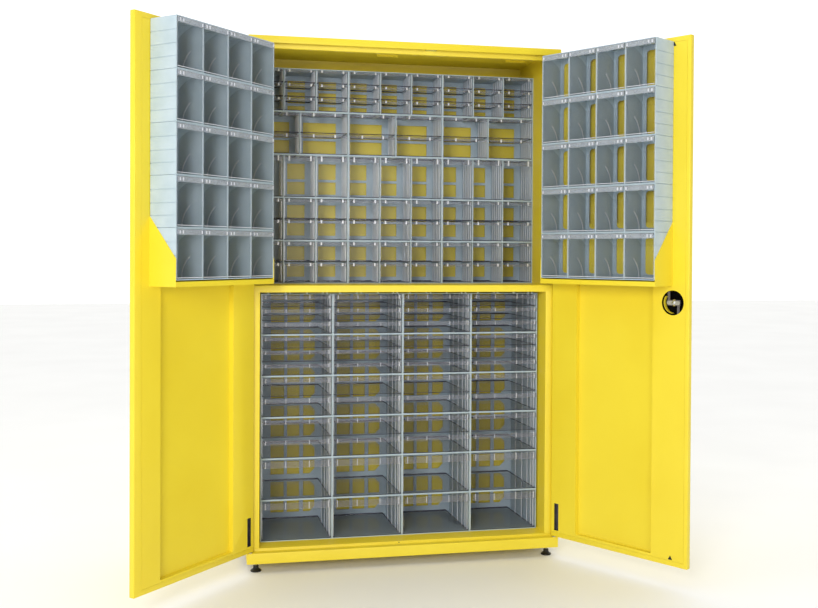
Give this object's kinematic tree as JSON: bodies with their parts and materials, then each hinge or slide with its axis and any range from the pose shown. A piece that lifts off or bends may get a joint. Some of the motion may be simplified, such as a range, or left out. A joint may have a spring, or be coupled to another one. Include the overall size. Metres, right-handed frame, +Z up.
{
  "type": "metal drawer cabinet",
  "caption": "Tall two-door sheet-metal cabinet with clear small-parts drawers in two blocks and racks of clear tilting bins on the inside of its doors.",
  "frame": {"origin": "on the floor, below the middle of the carcass", "axes": "+Z up, -Y out of the front of the carcass, +X to the right as seen from the front"},
  "size_m": [1.9226, 0.9421, 1.975],
  "materials": {
    "yellow_powder_coat": "satin",
    "pale_housing_plastic": "satin",
    "clear_drawer_plastic": "gloss",
    "zinc_plated_steel": "satin",
    "black_plastic": "satin"
  },
  "bodies": {
    "cabinet": {"base_tray": "yellow_powder_coat", "left_side_panel": "yellow_powder_coat", "right_side_panel": "yellow_powder_coat", "back_panel": "yellow_powder_coat", "roof_cap": "yellow_powder_coat", "top_stop_rail": "yellow_powder_coat", "middle_shelf": "yellow_powder_coat", "side_liners": "yellow_powder_coat", "levelling_feet": "black_plastic", "foot_locknuts": "zinc_plated_steel", "hinge_pins": "zinc_plated_steel", "hinge_washers": "zinc_plated_steel", "rod_keepers": "zinc_plated_steel", "upper_housings": "pale_housing_plastic", "lower_housings": "pale_housing_plastic"},
    "left_door": {"left_door_panel": "yellow_powder_coat", "left_door_liner": "yellow_powder_coat", "left_hinge_bushes": "black_plastic", "left_rack_tray": "yellow_powder_coat", "left_rack_housings": "pale_housing_plastic"},
    "right_door": {"right_door_panel": "yellow_powder_coat", "right_door_liner": "yellow_powder_coat", "right_hinge_bushes": "black_plastic", "right_rack_tray": "yellow_powder_coat", "right_rack_housings": "pale_housing_plastic", "lock_case": "black_plastic", "lock_rosette": "black_plastic", "rod_guides": "black_plastic"},
    "lock": {"lock_handle": "black_plastic", "lock_cam": "zinc_plated_steel"},
    "upper_rod": {"upper_lock_rod": "zinc_plated_steel"},
    "lower_rod": {"lower_lock_rod": "zinc_plated_steel"},
    "upper_row_1_single_drawer": {"upper_row_1_single_drawer": "clear_drawer_plastic"},
    "upper_row_2_single_drawer": {"upper_row_2_single_drawer": "clear_drawer_plastic"},
    "upper_row_3_single_drawer": {"upper_row_3_single_drawer": "clear_drawer_plastic"},
    "upper_row_4_single_drawer": {"upper_row_4_single_drawer": "clear_drawer_plastic"},
    "lower_row_1_single_drawer": {"lower_row_1_single_drawer": "clear_drawer_plastic"},
    "lower_row_3_single_drawer": {"lower_row_3_single_drawer": "clear_drawer_plastic"},
    "lower_row_5_single_drawer": {"lower_row_5_single_drawer": "clear_drawer_plastic"},
    "upper_row_1_drawers": {"upper_row_1_drawers": "clear_drawer_plastic"},
    "upper_row_2_drawers": {"upper_row_2_drawers": "clear_drawer_plastic"},
    "upper_row_3_drawers": {"upper_row_3_drawers": "clear_drawer_plastic"},
    "upper_row_4_drawers": {"upper_row_4_drawers": "clear_drawer_plastic"},
    "upper_row_5_drawers": {"upper_row_5_drawers": "clear_drawer_plastic"},
    "lower_row_1_drawers": {"lower_row_1_drawers": "clear_drawer_plastic"},
    "lower_row_2_drawers": {"lower_row_2_drawers": "clear_drawer_plastic"},
    "lower_row_3_drawers": {"lower_row_3_drawers": "clear_drawer_plastic"},
    "lower_row_4_drawers": {"lower_row_4_drawers": "clear_drawer_plastic"},
    "lower_row_5_drawers": {"lower_row_5_drawers": "clear_drawer_plastic"},
    "lower_row_6_drawers": {"lower_row_6_drawers": "clear_drawer_plastic"},
    "left_bin_row_1": {"left_bin_row_1": "clear_drawer_plastic"},
    "left_bin_row_2": {"left_bin_row_2": "clear_drawer_plastic"},
    "left_bin_row_3": {"left_bin_row_3": "clear_drawer_plastic"},
    "left_bin_row_4": {"left_bin_row_4": "clear_drawer_plastic"},
    "left_bin_row_5": {"left_bin_row_5": "clear_drawer_plastic"},
    "right_bin_row_1": {"right_bin_row_1": "clear_drawer_plastic"},
    "right_bin_row_2": {"right_bin_row_2": "clear_drawer_plastic"},
    "right_bin_row_3": {"right_bin_row_3": "clear_drawer_plastic"},
    "right_bin_row_4": {"right_bin_row_4": "clear_drawer_plastic"},
    "right_bin_row_5": {"right_bin_row_5": "clear_drawer_plastic"}
  },
  "joints": [
    {"name": "left_door_hinge", "type": "hinge", "parent": "cabinet", "child": "left_door", "pos_m": [-0.5875, -0.212, 0.08], "axis": [0, 0, -1], "range_deg": [-132.1, 7.9]},
    {"name": "right_door_hinge", "type": "hinge", "parent": "cabinet", "child": "right_door", "pos_m": [0.5875, -0.212, 0.08], "axis": [0, 0, 1], "range_deg": [-122.4, 17.6]},
    {"name": "lock_turn", "type": "hinge", "parent": "right_door", "child": "lock", "pos_m": [0.87791, -0.64535, 1.011], "axis": [0.8443, 0.5358, 0], "range_deg": [-45, 45]},
    {"name": "upper_rod_slide", "type": "slide", "parent": "right_door", "child": "upper_rod", "axis": [0, 0, 1], "range_m": [-0.0136, 0.0136]},
    {"name": "lower_rod_slide", "type": "slide", "parent": "right_door", "child": "lower_rod", "axis": [0, 0, -1], "range_m": [-0.0136, 0.0136]},
    {"name": "upper_row_1_single_drawer_slide", "type": "slide", "parent": "cabinet", "child": "upper_row_1_single_drawer", "axis": [0, -1, 0], "range_m": [0, 0.13]},
    {"name": "upper_row_2_single_drawer_slide", "type": "slide", "parent": "cabinet", "child": "upper_row_2_single_drawer", "axis": [0, -1, 0], "range_m": [0, 0.13]},
    {"name": "upper_row_3_single_drawer_slide", "type": "slide", "parent": "cabinet", "child": "upper_row_3_single_drawer", "axis": [0, -1, 0], "range_m": [0, 0.13]},
    {"name": "upper_row_4_single_drawer_slide", "type": "slide", "parent": "cabinet", "child": "upper_row_4_single_drawer", "axis": [0, -1, 0], "range_m": [0, 0.13]},
    {"name": "lower_row_1_single_drawer_slide", "type": "slide", "parent": "cabinet", "child": "lower_row_1_single_drawer", "axis": [0, -1, 0], "range_m": [0, 0.26]},
    {"name": "lower_row_3_single_drawer_slide", "type": "slide", "parent": "cabinet", "child": "lower_row_3_single_drawer", "axis": [0, -1, 0], "range_m": [0, 0.26]},
    {"name": "lower_row_5_single_drawer_slide", "type": "slide", "parent": "cabinet", "child": "lower_row_5_single_drawer", "axis": [0, -1, 0], "range_m": [0, 0.26]},
    {"name": "upper_row_1_drawers_slide", "type": "slide", "parent": "cabinet", "child": "upper_row_1_drawers", "axis": [0, -1, 0], "range_m": [0, 0.13]},
    {"name": "upper_row_2_drawers_slide", "type": "slide", "parent": "cabinet", "child": "upper_row_2_drawers", "axis": [0, -1, 0], "range_m": [0, 0.13]},
    {"name": "upper_row_3_drawers_slide", "type": "slide", "parent": "cabinet", "child": "upper_row_3_drawers", "axis": [0, -1, 0], "range_m": [0, 0.13]},
    {"name": "upper_row_4_drawers_slide", "type": "slide", "parent": "cabinet", "child": "upper_row_4_drawers", "axis": [0, -1, 0], "range_m": [0, 0.13]},
    {"name": "upper_row_5_drawers_slide", "type": "slide", "parent": "cabinet", "child": "upper_row_5_drawers", "axis": [0, -1, 0], "range_m": [0, 0.13]},
    {"name": "lower_row_1_drawers_slide", "type": "slide", "parent": "cabinet", "child": "lower_row_1_drawers", "axis": [0, -1, 0], "range_m": [0, 0.26]},
    {"name": "lower_row_2_drawers_slide", "type": "slide", "parent": "cabinet", "child": "lower_row_2_drawers", "axis": [0, -1, 0], "range_m": [0, 0.26]},
    {"name": "lower_row_3_drawers_slide", "type": "slide", "parent": "cabinet", "child": "lower_row_3_drawers", "axis": [0, -1, 0], "range_m": [0, 0.26]},
    {"name": "lower_row_4_drawers_slide", "type": "slide", "parent": "cabinet", "child": "lower_row_4_drawers", "axis": [0, -1, 0], "range_m": [0, 0.26]},
    {"name": "lower_row_5_drawers_slide", "type": "slide", "parent": "cabinet", "child": "lower_row_5_drawers", "axis": [0, -1, 0], "range_m": [0, 0.26]},
    {"name": "lower_row_6_drawers_slide", "type": "slide", "parent": "cabinet", "child": "lower_row_6_drawers", "axis": [0, -1, 0], "range_m": [0, 0.26]},
    {"name": "left_bin_row_1_tilt", "type": "hinge", "parent": "left_door", "child": "left_bin_row_1", "pos_m": [-0.68237, -0.49152, 1.7699], "axis": [0.6704, 0.742, 0], "range_deg": [0, 35]},
    {"name": "left_bin_row_2_tilt", "type": "hinge", "parent": "left_door", "child": "left_bin_row_2", "pos_m": [-0.68237, -0.49152, 1.602], "axis": [0.6704, 0.742, 0], "range_deg": [0, 35]},
    {"name": "left_bin_row_3_tilt", "type": "hinge", "parent": "left_door", "child": "left_bin_row_3", "pos_m": [-0.68237, -0.49152, 1.4341], "axis": [0.6704, 0.742, 0], "range_deg": [0, 35]},
    {"name": "left_bin_row_4_tilt", "type": "hinge", "parent": "left_door", "child": "left_bin_row_4", "pos_m": [-0.68237, -0.49152, 1.2662], "axis": [0.6704, 0.742, 0], "range_deg": [0, 35]},
    {"name": "left_bin_row_5_tilt", "type": "hinge", "parent": "left_door", "child": "left_bin_row_5", "pos_m": [-0.68237, -0.49152, 1.0983], "axis": [0.6704, 0.742, 0], "range_deg": [0, 35]},
    {"name": "right_bin_row_1_tilt", "type": "hinge", "parent": "right_door", "child": "right_bin_row_1", "pos_m": [0.63392, -0.5035, 1.7699], "axis": [0.5358, -0.8443, 0], "range_deg": [0, 35]},
    {"name": "right_bin_row_2_tilt", "type": "hinge", "parent": "right_door", "child": "right_bin_row_2", "pos_m": [0.63392, -0.5035, 1.602], "axis": [0.5358, -0.8443, 0], "range_deg": [0, 35]},
    {"name": "right_bin_row_3_tilt", "type": "hinge", "parent": "right_door", "child": "right_bin_row_3", "pos_m": [0.63392, -0.5035, 1.4341], "axis": [0.5358, -0.8443, 0], "range_deg": [0, 35]},
    {"name": "right_bin_row_4_tilt", "type": "hinge", "parent": "right_door", "child": "right_bin_row_4", "pos_m": [0.63392, -0.5035, 1.2662], "axis": [0.5358, -0.8443, 0], "range_deg": [0, 35]},
    {"name": "right_bin_row_5_tilt", "type": "hinge", "parent": "right_door", "child": "right_bin_row_5", "pos_m": [0.63392, -0.5035, 1.0983], "axis": [0.5358, -0.8443, 0], "range_deg": [0, 35]}
  ],
  "couplings": [
    {"joint": "upper_rod_slide", "follows": "lock_turn", "m_per_rad": 0.01711},
    {"joint": "lower_rod_slide", "follows": "lock_turn", "m_per_rad": 0.01711}
  ]
}
